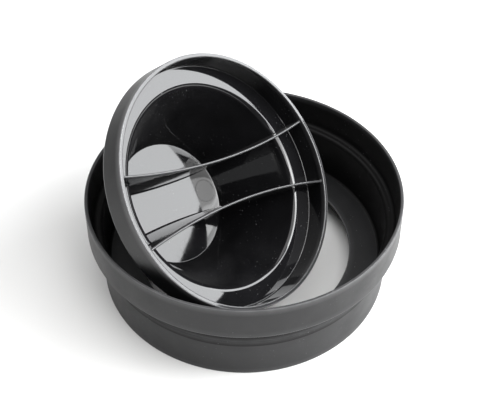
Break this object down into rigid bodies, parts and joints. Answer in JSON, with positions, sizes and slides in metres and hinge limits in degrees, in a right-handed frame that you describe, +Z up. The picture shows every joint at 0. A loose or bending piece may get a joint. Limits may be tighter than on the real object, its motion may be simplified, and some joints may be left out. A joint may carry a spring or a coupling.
{
  "type": "stepped ring with lift-out cup",
  "caption": "Open-bottomed stepped ring with an inner flange, and a loose flanged cup with curved finger ribs that lifts out of it.",
  "frame": {"origin": "middle of the ring's foot, on the table, in the middle of the overall bounding box", "axes": "+Z up, along the ring's axis; the loose cup faces +X and -Y"},
  "size_m": [0.1518, 0.1518, 0.1041],
  "materials": {
    "satin_black": "satin moulded charcoal plastic",
    "gloss_black": "polished black plastic inside, satin outside"
  },
  "bodies": {
    "ring": {"stepped_ring": "satin_black"},
    "cup": {"ribbed_cup": "gloss_black"}
  },
  "joints": [
    {"name": "cup_lift", "type": "slide", "parent": "ring", "child": "cup", "axis": [0, 0, 1], "range_m": [0, 0.12]}
  ]
}
